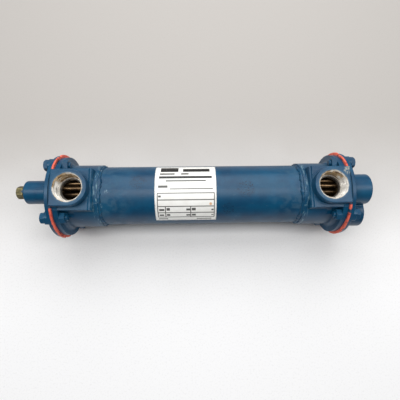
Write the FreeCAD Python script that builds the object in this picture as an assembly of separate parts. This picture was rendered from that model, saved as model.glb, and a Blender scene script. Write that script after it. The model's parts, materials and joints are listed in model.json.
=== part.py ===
import FreeCAD, Part
import math
import os

# Shell and tube heat exchanger, lying on a level floor with its two ports upright.
# Millimetres.  +X runs along the shell, from the anode end (left) to the nozzle end (right).
# +Z is up, along the ports.  The origin is the middle of the whole length, at floor level.

# --- driving dimensions -------------------------------------------------------------
TUBE_LENGTH = 355.6  # tubes, which end flush with the hub faces
SHELL_OD = 76.2
SHELL_WALL = 1.65

SLEEVE_WALL = 2.55  # hub sleeve round the shell
SOCKET_DEPTH = 12.0  # how far the shell enters the hub
HUB_FLANGE_THICKNESS = 6.35
HUB_FLANGE_EDGE = 0.8  # metal outside the bolt holes
HUB_FILLET = 5.0
BRAZE_LEG = 2.2

PORT_THREAD_RADIUS = 16.4
PORT_THREAD_DEPTH = 15.5
PORT_COUNTERSINK = 1.3
PORT_STEP = 3.4  # thread to the narrower passage
PORT_WALL = 4.5  # mouth to the boss's side
PORT_SETBACK = 3.3  # mouth to the hub's face
PORT_TO_SHELL = 1.4  # thread to the shell's end
PORT_RISE = 15.35  # top above the sleeve
EDGE_ROUND = 1.2

PAD_RISE = 4.35  # above the sleeve
PAD_MARGIN = 3.5  # beside the port boss
PAD_SHORTFALL = 1.8  # pad's top ends this far inside the boss's nose
PAD_STEP = 1.5  # first drop at the pad's inner end
PAD_LEDGE = 1.6  # flat below that drop
PAD_SLOPE = 1.3  # run of each drop

GASKET_THICKNESS = 2.6
GASKET_OVERHANG = 1.5  # outside the bonnet's rim

BONNET_OVERHANG = 2.1  # outside the hub's flange
BONNET_FLANGE = 4.5
DOME_RISE = 7.6  # above the bonnet's flange
DOME_SHOULDER = 5.0
CROWN_WALL = 5.2
SIDE_WALL = 5.5
RIB_WIDTH = 5.0
LUG_RISE = 4.2  # above the bonnet's flange
LUG_EDGE = 0.6  # round a bolt head's seat
CASTING_FILLET = 1.5
WAIST_FILLET = 2.0  # in the crease between the two nozzles
RIM_ROUND = 1.0

NOZZLE_MERGE = 2.18  # how far the two nozzles run into each other
NOZZLE_RISE = 17.8  # above the dome
NOZZLE_THREAD_RADIUS = 13.1
NOZZLE_THREAD_DEPTH = 15.0
NOZZLE_COUNTERSINK = 1.1
NOZZLE_WALL = 4.85  # mouth to the nozzle's side
NOZZLE_STEP = 2.6  # thread to the narrower passage

ANODE_RADIUS = 4.75
ANODE_CLEARANCE = 0.75
ANODE_END_GAP = 3.0  # from the tubesheet
ANODE_BOSS_OFFSET = 27.0  # boss's axis from the shell's axis
ANODE_BOSS_RISE = 23.1  # above the dome
ANODE_BOSS_WALL = 7.9  # plug's thread to the boss's side
PLUG_STEP = 1.1  # thread to the narrower anode hole
PLUG_THREAD_DEPTH = 15.0
PLUG_NECK = 3.4
PLUG_HEX = 14.3
PLUG_HEX_HEIGHT = 8.4

BOLT_COUNT = 4
BOLT_RADIUS = 3.97
BOLT_CLEARANCE = 0.13
BOLT_STUB = 2.6  # thread showing past the nut
BOLT_TIP = 0.8  # chamfer at the thread's end
HEX_ACROSS = 12.7
HEAD_HEIGHT = 5.3
HEAD_GAP = 0.65  # head's flat to the dome
NUT_HEIGHT = 6.7
NUT_BITE = 0.5  # how far a nut's flat stands in the sleeve's side
SEAT_CLEARANCE = 0.27  # hexagon's corner to the edge of its seat

TUBE_RADIUS = 3.175
TUBE_WALL = 0.56
TUBE_GAP = 1.59  # between neighbouring tubes
TUBE_EDGE = 0.8  # tube to shell
PASS_LANE = 1.0  # tube to the lane under a bonnet's rib
TUBESHEET_THICKNESS = 6.35

BAFFLE_COUNT = 5
BAFFLE_END = 81.8  # outermost baffle from the tubes' ends
BAFFLE_THICKNESS = 1.6
BAFFLE_CLEARANCE = 0.1
BAFFLE_CUT = 0.25  # of the baffle's diameter

LABEL_LENGTH = 76.2
LABEL_HALF_ANGLE = 64.0
LABEL_TURN = -4.0  # centre of the label, from straight up towards the back
LABEL_THICKNESS = 0.25
LABEL_SHIFT = -19.5  # from the middle of the shell

# --- worked out: radii, then distances along X, then heights above the shell's axis -----
SHELL_RADIUS = SHELL_OD / 2
BORE_RADIUS = SHELL_RADIUS - SHELL_WALL
SLEEVE_RADIUS = SHELL_RADIUS + SLEEVE_WALL
BOLT_HOLE_RADIUS = BOLT_RADIUS + BOLT_CLEARANCE
BOLT_CIRCLE_RADIUS = SLEEVE_RADIUS + HEX_ACROSS / 2 - NUT_BITE
SEAT_RADIUS = HEX_ACROSS / math.sqrt(3) + SEAT_CLEARANCE
LUG_RADIUS = SEAT_RADIUS + LUG_EDGE
HUB_FLANGE_RADIUS = BOLT_CIRCLE_RADIUS + BOLT_HOLE_RADIUS + HUB_FLANGE_EDGE
BONNET_RADIUS = HUB_FLANGE_RADIUS + BONNET_OVERHANG
GASKET_RADIUS = BONNET_RADIUS + GASKET_OVERHANG
DOME_RADIUS = BOLT_CIRCLE_RADIUS - HEX_ACROSS / 2 - HEAD_GAP
CAVITY_RADIUS = DOME_RADIUS - SIDE_WALL
PORT_MOUTH_RADIUS = PORT_THREAD_RADIUS + PORT_COUNTERSINK
PORT_PASSAGE_RADIUS = PORT_THREAD_RADIUS - PORT_STEP
PORT_BOSS_RADIUS = PORT_MOUTH_RADIUS + PORT_WALL
NOZZLE_MOUTH_RADIUS = NOZZLE_THREAD_RADIUS + NOZZLE_COUNTERSINK
NOZZLE_PASSAGE_RADIUS = NOZZLE_THREAD_RADIUS - NOZZLE_STEP
NOZZLE_RADIUS = NOZZLE_MOUTH_RADIUS + NOZZLE_WALL
NOZZLE_OFFSET = (2 * NOZZLE_RADIUS - NOZZLE_MERGE) / math.sqrt(2)  # their axes from the shell's
PLUG_THREAD_RADIUS = ANODE_RADIUS + ANODE_CLEARANCE + PLUG_STEP
ANODE_BOSS_RADIUS = PLUG_THREAD_RADIUS + ANODE_BOSS_WALL
TUBE_PITCH = 2 * TUBE_RADIUS + TUBE_GAP

PORT_INSET = PORT_MOUTH_RADIUS + PORT_SETBACK
SHELL_INSET = PORT_INSET + PORT_THREAD_RADIUS + PORT_TO_SHELL
HUB_LENGTH = SHELL_INSET + SOCKET_DEPTH
PAD_END = PORT_INSET + PORT_BOSS_RADIUS - PAD_SHORTFALL
PAD_WIDTH = 2 * (PORT_BOSS_RADIUS + PAD_MARGIN)
DOME_HEIGHT = BONNET_FLANGE + DOME_RISE
CAVITY_DEPTH = DOME_HEIGHT - CROWN_WALL
LUG_HEIGHT = BONNET_FLANGE + LUG_RISE
NOZZLE_REACH = DOME_HEIGHT + NOZZLE_RISE
ANODE_BOSS_REACH = DOME_HEIGHT + ANODE_BOSS_RISE
LEFT_REACH = GASKET_THICKNESS + ANODE_BOSS_REACH + PLUG_NECK + PLUG_HEX_HEIGHT
RIGHT_REACH = GASKET_THICKNESS + NOZZLE_REACH
MIDDLE_X = (LEFT_REACH - RIGHT_REACH) / 2  # middle of the shell
BAFFLE_SPACING = (TUBE_LENGTH - 2 * BAFFLE_END) / (BAFFLE_COUNT - 1)

AXIS_HEIGHT = BONNET_RADIUS  # the bonnets' rims touch the floor
PAD_TOP = SLEEVE_RADIUS + PAD_RISE
PORT_TOP = SLEEVE_RADIUS + PORT_RISE
BOLT_ANGLES = [45.0 + 360.0 / BOLT_COUNT * i for i in range(BOLT_COUNT)]

X_AXIS = FreeCAD.Vector(1, 0, 0)
Y_AXIS = FreeCAD.Vector(0, 1, 0)
Z_AXIS = FreeCAD.Vector(0, 0, 1)


# --- helpers: an end is drawn with its hub's face at x = 0 and outward as +X ---------
def rod(radius, start, stop, y=0.0, z=0.0):
    """Round bar along X from start to stop."""
    return Part.makeCylinder(radius, stop - start, FreeCAD.Vector(start, y, z), X_AXIS)


def turned(points):
    """Solid of revolution about X from (x, radius) corners."""
    corners = [FreeCAD.Vector(x, 0, radius) for x, radius in points]
    face = Part.Face(Part.makePolygon(corners + corners[:1]))
    return face.revolve(FreeCAD.Vector(0, 0, 0), X_AXIS, 360)


def hexagon(across, start, stop, y=0.0, z=0.0, turn=0.0):
    """Hexagonal bar along X with its end corners chamfered; turn is about X."""
    corner = across / math.sqrt(3)
    angles = [math.radians(60 * i + turn) for i in range(7)]
    ring = [FreeCAD.Vector(start, corner * math.cos(a), corner * math.sin(a)) for a in angles]
    bar = Part.Face(Part.makePolygon(ring)).extrude(X_AXIS * (stop - start))
    drop = (corner - across / 2) * 0.6
    cone = turned([(start, 0), (start, across / 2), (start + drop, corner),
                   (stop - drop, corner), (stop, across / 2), (stop, 0)])
    bar = bar.common(cone)
    bar.translate(FreeCAD.Vector(0, y, z))
    return bar


def around(radius, angle):
    """Y and Z of a point at an angle from +Y towards +Z."""
    return radius * math.cos(math.radians(angle)), radius * math.sin(math.radians(angle))


def at_right(shape):
    """Place a shape drawn in the end's own frame at the nozzle end."""
    placed = shape.copy()
    placed.translate(FreeCAD.Vector(MIDDLE_X + TUBE_LENGTH / 2, 0, AXIS_HEIGHT))
    return placed


def at_left(shape):
    """Place a shape drawn in the end's own frame at the anode end, turned to face left."""
    placed = shape.copy()
    placed.rotate(FreeCAD.Vector(0, 0, 0), Z_AXIS, 180)
    placed.translate(FreeCAD.Vector(MIDDLE_X - TUBE_LENGTH / 2, 0, AXIS_HEIGHT))
    return placed


def at_middle(shape):
    """Place a shape drawn about the middle of the shell's axis."""
    placed = shape.copy()
    placed.translate(FreeCAD.Vector(MIDDLE_X, 0, AXIS_HEIGHT))
    return placed


def bolt_rods(radius, start, stop):
    """Round bars on the bolt circle."""
    return [rod(radius, start, stop, *around(BOLT_CIRCLE_RADIUS, a)) for a in BOLT_ANGLES]


# --- shell and hubs -----------------------------------------------------------------
def shell():
    """Plain tube whose ends sit in the hubs' sockets."""
    half = TUBE_LENGTH / 2 - SHELL_INSET
    return rod(SHELL_RADIUS, -half, half).cut(rod(BORE_RADIUS, -half, half))


def hub_blank():
    """Sleeve and flange, turned, with the corner between them filleted."""
    blank = rod(SLEEVE_RADIUS, -HUB_LENGTH, 0)
    blank = blank.fuse(rod(HUB_FLANGE_RADIUS, -HUB_FLANGE_THICKNESS, 0)).removeSplitter()
    corner = [e for e in blank.Edges if abs(e.BoundBox.XMin + HUB_FLANGE_THICKNESS) < 0.01
              and abs(e.BoundBox.ZMax - SLEEVE_RADIUS) < 0.01]
    return blank.makeFillet(HUB_FILLET, corner)


def hub_pad():
    """Flat-topped saddle under the port, whose inner end drops to the sleeve in two steps."""
    half = PAD_WIDTH / 2
    ledge = -PAD_END - PAD_SLOPE
    foot = ledge - PAD_LEDGE - PAD_SLOPE
    side = [(0, 0), (0, PAD_TOP), (-PAD_END, PAD_TOP), (ledge, PAD_TOP - PAD_STEP),
            (ledge - PAD_LEDGE, PAD_TOP - PAD_STEP), (foot, SLEEVE_RADIUS), (foot, 0)]
    corners = [FreeCAD.Vector(x, -half, z) for x, z in side]
    pad = Part.Face(Part.makePolygon(corners + corners[:1])).extrude(Y_AXIS * PAD_WIDTH)
    long_edges = [e for e in pad.Edges if abs(e.BoundBox.ZMin - PAD_TOP) < 0.01
                  and e.BoundBox.XLength > 1]
    return pad.makeFillet(EDGE_ROUND / 2, long_edges)


def port_boss():
    """D-shaped boss: round towards the shell, square towards the flange."""
    r = PORT_BOSS_RADIUS
    near = FreeCAD.Vector(0, -r, 0)
    far = FreeCAD.Vector(0, r, 0)
    far_bend = FreeCAD.Vector(-PORT_INSET, r, 0)
    near_bend = FreeCAD.Vector(-PORT_INSET, -r, 0)
    nose = FreeCAD.Vector(-PORT_INSET - r, 0, 0)
    outline = Part.Wire([Part.makeLine(near, far), Part.makeLine(far, far_bend),
                         Part.Arc(far_bend, nose, near_bend).toShape(),
                         Part.makeLine(near_bend, near)])
    boss = Part.Face(outline).extrude(Z_AXIS * PORT_TOP)
    rim = [e for e in boss.Edges if abs(e.BoundBox.ZMin - PORT_TOP) < 0.01]
    return boss.makeFillet(EDGE_ROUND, rim)


def port_bore():
    """Threaded mouth, its countersink and the narrower passage into the shell."""
    base = FreeCAD.Vector(-PORT_INSET, 0, 0)
    passage = Part.makeCylinder(PORT_PASSAGE_RADIUS, PORT_TOP, base)
    thread = Part.makeCylinder(PORT_THREAD_RADIUS, PORT_THREAD_DEPTH,
                               base + Z_AXIS * (PORT_TOP - PORT_THREAD_DEPTH))
    mouth = Part.makeCone(PORT_THREAD_RADIUS, PORT_MOUTH_RADIUS, PORT_COUNTERSINK,
                          base + Z_AXIS * (PORT_TOP - PORT_COUNTERSINK))
    return [passage, thread, mouth]


def hub():
    """Hub with its pad, port boss, bores, bolt holes and nut seats."""
    cuts = [rod(BORE_RADIUS, -HUB_LENGTH, 0), rod(SHELL_RADIUS, -HUB_LENGTH, -SHELL_INSET)]
    cuts += port_bore()
    cuts += bolt_rods(BOLT_HOLE_RADIUS, -HUB_FLANGE_THICKNESS - HUB_FILLET, 0)
    reach = NUT_HEIGHT + BOLT_STUB + HUB_FILLET
    cuts += bolt_rods(SEAT_RADIUS, -HUB_FLANGE_THICKNESS - reach, -HUB_FLANGE_THICKNESS)
    return hub_blank().fuse([hub_pad(), port_boss()]).cut(cuts).removeSplitter()


def braze():
    """Bead of brazing metal in the corner between the sleeve's end and the shell."""
    return turned([(-HUB_LENGTH, SHELL_RADIUS), (-HUB_LENGTH, SHELL_RADIUS + BRAZE_LEG),
                   (-HUB_LENGTH - BRAZE_LEG, SHELL_RADIUS)])


# --- tubes, tubesheets and baffles ----------------------------------------------------
def tube_places():
    """Y and Z of each tube: triangular pitch with its rows upright, clear of the pass lanes."""
    row_step = TUBE_PITCH * math.sqrt(3) / 2
    limit = BORE_RADIUS - TUBE_RADIUS - TUBE_EDGE
    lane = RIB_WIDTH / 2 + PASS_LANE
    places = []
    count = int(limit / row_step) + 1
    for row in range(-count, count):
        y = (row + 0.5) * row_step
        for step in range(-count - 1, count + 2):
            z = (step + 0.5 * (row % 2)) * TUBE_PITCH
            clear_of_lanes = min(abs(y - z), abs(y + z)) / math.sqrt(2) > lane
            if math.hypot(y, z) < limit and clear_of_lanes:
                places.append((y, z))
    return places


def tube_bundle(places):
    """Every tube, open at both ends."""
    half = TUBE_LENGTH / 2
    tubes = [rod(TUBE_RADIUS, -half, half, y, z).cut(rod(TUBE_RADIUS - TUBE_WALL, -half, half, y, z))
             for y, z in places]
    return Part.makeCompound(tubes)


def tubesheet(places, start):
    """Disc brazed into a hub's bore, flush with its face; start is its left face."""
    stop = start + TUBESHEET_THICKNESS
    holes = [rod(TUBE_RADIUS, start, stop, y, z) for y, z in places]
    return rod(BORE_RADIUS, start, stop).cut(holes)


def baffle(places, number):
    """Segmental plate; the open segment is at the bottom and the top by turns."""
    x = (number - (BAFFLE_COUNT - 1) / 2) * BAFFLE_SPACING
    radius = BORE_RADIUS - BAFFLE_CLEARANCE
    stop = x + BAFFLE_THICKNESS
    plate = rod(radius, x, stop)
    depth = 2 * radius * BAFFLE_CUT
    low = -radius if number % 2 == 0 else radius - depth
    window = Part.makeBox(BAFFLE_THICKNESS, 2 * radius, depth, FreeCAD.Vector(x, -radius, low))
    holes = [rod(TUBE_RADIUS + BAFFLE_CLEARANCE, x, stop, y, z) for y, z in places]
    return plate.cut([window] + holes)


# --- gaskets and bonnets ---------------------------------------------------------------
def rib(angle, start, stop, both_ways):
    """Bar across the bonnet's cavity, or from its middle one way, at an angle from +Y."""
    length = BONNET_RADIUS
    first = -length if both_ways else 0.0
    bar = Part.makeBox(stop - start, length - first, RIB_WIDTH,
                       FreeCAD.Vector(start, first, -RIB_WIDTH / 2))
    bar.rotate(FreeCAD.Vector(0, 0, 0), X_AXIS, angle)
    return bar


def cavity(start, stop, ribs):
    """Room inside a bonnet or gasket, divided by its ribs."""
    room = rod(CAVITY_RADIUS, start, stop)
    return room.cut([rib(angle, start, stop, both) for angle, both in ribs])


def gasket(ribs):
    """Sheet ring with bars under the ribs; its edge is pressed flat where it meets the floor."""
    sheet = rod(GASKET_RADIUS, 0, GASKET_THICKNESS)
    side = 2 * GASKET_RADIUS
    below = Part.makeBox(GASKET_THICKNESS, side, side,
                         FreeCAD.Vector(0, -GASKET_RADIUS, -AXIS_HEIGHT - side))
    cuts = [below, cavity(0, GASKET_THICKNESS, ribs)] + bolt_rods(BOLT_HOLE_RADIUS, 0, GASKET_THICKNESS)
    return sheet.cut(cuts)


def lug(angle):
    """Raised seat under a bolt head, joined to the dome."""
    seat = rod(LUG_RADIUS, 0, LUG_HEIGHT, BOLT_CIRCLE_RADIUS, 0)
    web = Part.makeBox(LUG_HEIGHT, BOLT_CIRCLE_RADIUS - DOME_RADIUS / 2, 2 * LUG_RADIUS,
                       FreeCAD.Vector(0, DOME_RADIUS / 2, -LUG_RADIUS))
    seat = seat.fuse(web).common(rod(BONNET_RADIUS, 0, LUG_HEIGHT))
    seat.rotate(FreeCAD.Vector(0, 0, 0), X_AXIS, angle)
    return seat


def cover():
    """Flange with a rounded rim, and a dome with a rounded shoulder and a filleted foot."""
    dome = rod(DOME_RADIUS, 0, DOME_HEIGHT)
    shoulder = [e for e in dome.Edges if abs(e.BoundBox.XMin - DOME_HEIGHT) < 0.01]
    dome = dome.makeFillet(DOME_SHOULDER, shoulder)
    blank = rod(BONNET_RADIUS, 0, BONNET_FLANGE).fuse(dome).removeSplitter()
    for radius, size in [(BONNET_RADIUS, RIM_ROUND), (DOME_RADIUS, CASTING_FILLET)]:
        circle = [e for e in blank.Edges if abs(e.BoundBox.XMin - BONNET_FLANGE) < 0.01
                  and abs(e.BoundBox.YMax - radius) < 0.01]
        blank = blank.makeFillet(size, circle)
    return blank


def on_wall(edge, radius, place):
    """Whether an edge lies on the wall of a round boss with its axis at this Y and Z."""
    params = [edge.FirstParameter, (edge.FirstParameter + edge.LastParameter) / 2, edge.LastParameter]
    points = [edge.valueAt(value) for value in params]
    return all(abs(math.hypot(p.y - place[0], p.z - place[1]) - radius) < 0.02 for p in points)


def foot_edges(shape, radius, place, reach):
    """Edges where a boss meets what it stands on."""
    low = [e for e in shape.Edges if e.BoundBox.XMin > 0.01
           and e.BoundBox.XMax < reach - 2 * CASTING_FILLET and e.BoundBox.XLength < reach / 2]
    return [e for e in low if on_wall(e, radius, place)]


def add_bosses(blank, places, radius, reach):
    """Round bosses on the cover: creases, then ends, then feet are rounded."""
    blank = blank.fuse([rod(radius, 0, reach, y, z) for y, z in places]).removeSplitter()
    if len(places) > 1:
        crease = [e for e in blank.Edges if all(on_wall(e, radius, place) for place in places)]
        blank = blank.makeFillet(WAIST_FILLET, crease)
    ends = [e for e in blank.Edges if abs(e.BoundBox.XMin - reach) < 0.01]
    blank = blank.makeFillet(CASTING_FILLET, ends)
    feet = [edge for place in places for edge in foot_edges(blank, radius, place, reach)]
    return blank.makeFillet(CASTING_FILLET, feet)


def finish_bonnet(blank, ribs, holes):
    """Add the lugs, then open the cavity, the bolt holes, the head seats and the given holes."""
    blank = blank.fuse([lug(angle) for angle in BOLT_ANGLES]).removeSplitter()
    cuts = [cavity(0, CAVITY_DEPTH, ribs)] + holes
    cuts += bolt_rods(BOLT_HOLE_RADIUS, 0, LUG_HEIGHT)
    cuts += bolt_rods(SEAT_RADIUS, LUG_HEIGHT, LUG_HEIGHT + HEAD_HEIGHT)
    bonnet = blank.cut(cuts)
    bonnet.translate(X_AXIS * GASKET_THICKNESS)
    return bonnet


def bonnet_with_nozzles(ribs):
    """Cover with two joined nozzles that face outward, one above and one in front of the axis."""
    places = [(0, NOZZLE_OFFSET), (-NOZZLE_OFFSET, 0)]
    holes = []
    for y, z in places:
        holes.append(rod(NOZZLE_THREAD_RADIUS, NOZZLE_REACH - NOZZLE_THREAD_DEPTH, NOZZLE_REACH, y, z))
        holes.append(rod(NOZZLE_PASSAGE_RADIUS, CAVITY_DEPTH, NOZZLE_REACH, y, z))
        holes.append(Part.makeCone(NOZZLE_THREAD_RADIUS, NOZZLE_MOUTH_RADIUS, NOZZLE_COUNTERSINK,
                                   FreeCAD.Vector(NOZZLE_REACH - NOZZLE_COUNTERSINK, y, z), X_AXIS))
    blank = add_bosses(cover(), places, NOZZLE_RADIUS, NOZZLE_REACH)
    return finish_bonnet(blank, ribs, holes)


def bonnet_with_anode(ribs):
    """Cover with one boss that holds the anode plug."""
    y, z = 0, ANODE_BOSS_OFFSET
    holes = [rod(PLUG_THREAD_RADIUS, ANODE_BOSS_REACH - PLUG_THREAD_DEPTH, ANODE_BOSS_REACH, y, z),
             rod(ANODE_RADIUS + ANODE_CLEARANCE, CAVITY_DEPTH, ANODE_BOSS_REACH, y, z)]
    blank = add_bosses(cover(), [(y, z)], ANODE_BOSS_RADIUS, ANODE_BOSS_REACH)
    return finish_bonnet(blank, ribs, holes)


# --- fasteners, anode and label ---------------------------------------------------------
def anode_plug():
    """Hexagon plug screwed into the boss."""
    face = GASKET_THICKNESS + ANODE_BOSS_REACH
    thread = rod(PLUG_THREAD_RADIUS, face - PLUG_THREAD_DEPTH, face + PLUG_NECK, 0, ANODE_BOSS_OFFSET)
    head = hexagon(PLUG_HEX, face + PLUG_NECK, face + PLUG_NECK + PLUG_HEX_HEIGHT, 0, ANODE_BOSS_OFFSET)
    return thread.fuse(head).removeSplitter()


def anode_rod():
    """Rod carried by the plug, ending short of the tubesheet."""
    stop = GASKET_THICKNESS + ANODE_BOSS_REACH - PLUG_THREAD_DEPTH
    return rod(ANODE_RADIUS, ANODE_END_GAP, stop, 0, ANODE_BOSS_OFFSET)


def bolt(angle):
    """Hexagon bolt from the seat on the bonnet to just past its nut."""
    seat = GASKET_THICKNESS + LUG_HEIGHT
    stop = -HUB_FLANGE_THICKNESS - NUT_HEIGHT - BOLT_STUB
    y, z = around(BOLT_CIRCLE_RADIUS, angle)
    shank = rod(BOLT_RADIUS, stop, seat, y, z)
    tip = [e for e in shank.Edges if abs(e.BoundBox.XMax - stop) < 0.01]
    shank = shank.makeChamfer(BOLT_TIP, tip)
    head = hexagon(HEX_ACROSS, seat, seat + HEAD_HEIGHT, y, z, turn=angle + 30)
    return shank.fuse(head).removeSplitter()


def nut(angle):
    """Hexagon nut on the back of the hub's flange."""
    y, z = around(BOLT_CIRCLE_RADIUS, angle)
    start = -HUB_FLANGE_THICKNESS - NUT_HEIGHT
    body = hexagon(HEX_ACROSS, start, -HUB_FLANGE_THICKNESS, y, z, turn=angle + 30)
    return body.cut(rod(BOLT_RADIUS, start, -HUB_FLANGE_THICKNESS, y, z))


def nameplate():
    """Thin label wrapped over the top of the shell."""
    start = LABEL_SHIFT - LABEL_LENGTH / 2
    inner = FreeCAD.Vector(start, 0, SHELL_RADIUS)
    outer = FreeCAD.Vector(start, 0, SHELL_RADIUS + LABEL_THICKNESS)
    along = X_AXIS * LABEL_LENGTH
    section = Part.Face(Part.makePolygon([inner, outer, outer + along, inner + along, inner]))
    section.rotate(FreeCAD.Vector(0, 0, 0), X_AXIS, -LABEL_TURN - LABEL_HALF_ANGLE)
    return section.revolve(FreeCAD.Vector(0, 0, 0), X_AXIS, 2 * LABEL_HALF_ANGLE)


def main():
    """Build every piece and write one STEP file for each."""
    places = tube_places()
    nozzle_ribs = [(45.0, True), (135.0, False)]
    return_ribs = [(45.0, True)]
    nodes = {
        "shell": at_middle(shell()),
        "tubesheet_left": at_middle(tubesheet(places, -TUBE_LENGTH / 2)),
        "tubesheet_right": at_middle(tubesheet(places, TUBE_LENGTH / 2 - TUBESHEET_THICKNESS)),
        "tube_bundle": at_middle(tube_bundle(places)),
        "nameplate": at_middle(nameplate()),
        "bonnet_left": at_left(bonnet_with_anode(return_ribs)),
        "bonnet_right": at_right(bonnet_with_nozzles(nozzle_ribs)),
        "gasket_left": at_left(gasket(return_ribs)),
        "gasket_right": at_right(gasket(nozzle_ribs)),
        "anode_plug": at_left(anode_plug()),
        "anode_rod": at_left(anode_rod()),
    }
    for number in range(BAFFLE_COUNT):
        nodes["baffle_%d" % (number + 1)] = at_middle(baffle(places, number))
    for side, place in [("left", at_left), ("right", at_right)]:
        nodes["hub_" + side] = place(hub())
        nodes["braze_" + side] = place(braze())
        for number, angle in enumerate(BOLT_ANGLES):
            nodes["bolt_%s_%d" % (side, number + 1)] = place(bolt(angle))
            nodes["nut_%s_%d" % (side, number + 1)] = place(nut(angle))
    os.makedirs("parts", exist_ok=True)
    for name, shape in nodes.items():
        shape.exportStep("parts/%s.step" % name)
        print(name, len(shape.Solids), round(shape.Volume), shape.isValid())
    print("tubes:", len(places))


main()
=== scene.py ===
# %% [markdown]
# # A painted shell and tube heat exchanger
# The exchanger is a brass tube with a hub at each end, and a cover bolted on each hub over a
# red gasket.  The frame already holds every rigid piece at its real size, so this lesson adds
# what a frame leaves out: the finish of each surface, the threads cut in the openings, the
# rough edges of the gaskets, the lumpy brazing and the label.  Every length is in metres.

# %% Load the frame
import json
import math

import bpy
import numpy as np
from mathutils import Matrix, Vector


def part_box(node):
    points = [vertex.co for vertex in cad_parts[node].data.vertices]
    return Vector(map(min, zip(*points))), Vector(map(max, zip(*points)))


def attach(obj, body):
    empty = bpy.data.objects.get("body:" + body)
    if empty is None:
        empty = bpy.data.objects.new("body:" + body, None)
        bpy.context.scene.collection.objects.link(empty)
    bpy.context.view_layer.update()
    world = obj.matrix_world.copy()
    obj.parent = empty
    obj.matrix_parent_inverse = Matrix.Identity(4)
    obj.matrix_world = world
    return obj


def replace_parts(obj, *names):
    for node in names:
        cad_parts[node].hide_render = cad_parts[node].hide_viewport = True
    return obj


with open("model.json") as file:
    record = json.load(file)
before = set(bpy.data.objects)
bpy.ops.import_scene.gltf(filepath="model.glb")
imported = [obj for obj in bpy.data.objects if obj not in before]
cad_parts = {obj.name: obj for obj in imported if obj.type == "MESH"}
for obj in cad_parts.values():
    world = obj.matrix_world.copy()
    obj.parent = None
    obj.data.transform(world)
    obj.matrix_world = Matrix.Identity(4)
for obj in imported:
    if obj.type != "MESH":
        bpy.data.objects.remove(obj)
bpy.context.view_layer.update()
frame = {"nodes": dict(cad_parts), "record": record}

MM = 0.001

# %% [markdown]
# ## Where everything is
# The record says where the threaded openings are and how wide they are.  The boxes of the
# nodes give the rest: the shell's axis and radius, where each hub starts and ends, and the
# thickness of a gasket.  Every new piece below takes its place from these.

# %% Measure the frame
mounts = {m["name"]: m for m in frame["record"]["mounts"]}


def box(node):
    """The lowest and highest corner of a node, as two arrays."""
    low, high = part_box(node)
    return np.array(low), np.array(high)


shell_low, shell_high = box("shell")
AXIS_Z = (shell_low[2] + shell_high[2]) / 2
SHELL_RADIUS = (shell_high[2] - shell_low[2]) / 2
SIDES = {"left": -1.0, "right": 1.0}
FACE_X = {"left": box("hub_left")[0][0], "right": box("hub_right")[1][0]}
SLEEVE_END_X = {"left": box("hub_left")[1][0], "right": box("hub_right")[0][0]}
PORT_X = {side: mounts["shell_port_" + side]["pos_m"][0] for side in SIDES}
PORT_RADIUS = mounts["shell_port_left"]["dims"]["r_mm"] * MM
HUB_TOP_Z = box("hub_left")[1][2]
print("axis height", round(AXIS_Z, 4), "shell radius", round(SHELL_RADIUS, 4), "ports at", PORT_X)

# %% [markdown]
# ## Node trees in a few words
# A finish is a small program of nodes, and a few helpers keep such programs readable.  `fill`
# joins or sets a node's inputs, `add` makes a node and fills it, and `calc`, `times` and
# `vector_calc` do sums.


# %% Helpers for nodes
def fill(tree, node, inputs):
    """Join each of a node's inputs to a socket, or set it to a value."""
    for key, value in inputs.items():
        if isinstance(value, bpy.types.NodeSocket):
            tree.links.new(value, node.inputs[key])
        else:
            node.inputs[key].default_value = value


def add(tree, kind, inputs=None, **settings):
    """One node: settings are its own options, inputs are sockets to join or values to set."""
    made = tree.nodes.new("ShaderNode" + kind)
    for name, value in settings.items():
        setattr(made, name, value)
    fill(tree, made, inputs or {})
    return made


def calc(tree, operation, *values, clamp=False):
    """A Math node's result."""
    made = add(tree, "Math", dict(enumerate(values)), operation=operation, use_clamp=clamp)
    return made.outputs[0]


def times(tree, first, second, clamp=False):
    """A product; of two masks, it is the part that they share."""
    return calc(tree, "MULTIPLY", first, second, clamp=clamp)


def vector_calc(tree, operation, *values):
    """A Vector Math node's result: a number for a distance, a length or a dot product."""
    made = add(tree, "VectorMath", dict(enumerate(values)), operation=operation)
    return made.outputs["Value" if operation in ("DISTANCE", "LENGTH", "DOT_PRODUCT") else "Vector"]


def split(tree, vector):
    """The X, Y and Z of a vector."""
    return add(tree, "SeparateXYZ", {0: vector}).outputs


# %% [markdown]
# Most finishes here are written in four words.  `band` is a soft threshold, `blend` is a mix of
# two colours, `noise` gives clouds, and `patch` gives a spot with a ragged outline.


# %% Helpers for patterns
def band(tree, value, start, stop):
    """0 below start and 1 above stop, with a smooth rise; start may be the larger, for a fall."""
    made = add(tree, "MapRange", {"Value": value, "From Min": start, "From Max": stop},
               interpolation_type="SMOOTHSTEP")
    return made.outputs["Result"]


def blend(tree, factor, first, second):
    """A mix of two colours; a Mix node keeps its colours in inputs 6 and 7 and in output 2."""
    return add(tree, "Mix", {0: factor, 6: first, 7: second}, data_type="RGBA").outputs[2]


def blend_value(tree, factor, first, second):
    """A mix of two numbers."""
    return calc(tree, "MULTIPLY_ADD", calc(tree, "SUBTRACT", second, first), factor, first)


def noise(tree, vector, scale, detail=3.0, roughness=0.5):
    """Cloudy values about a half; scale is how many clouds fit in a metre."""
    made = add(tree, "TexNoise", {"Vector": vector, "Scale": scale, "Detail": detail,
                                  "Roughness": roughness})
    return made.outputs["Fac"]


def stretched(tree, vector, size):
    """Coordinates multiplied by a size for each direction, which draws a pattern out."""
    return vector_calc(tree, "MULTIPLY", vector, size)


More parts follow.
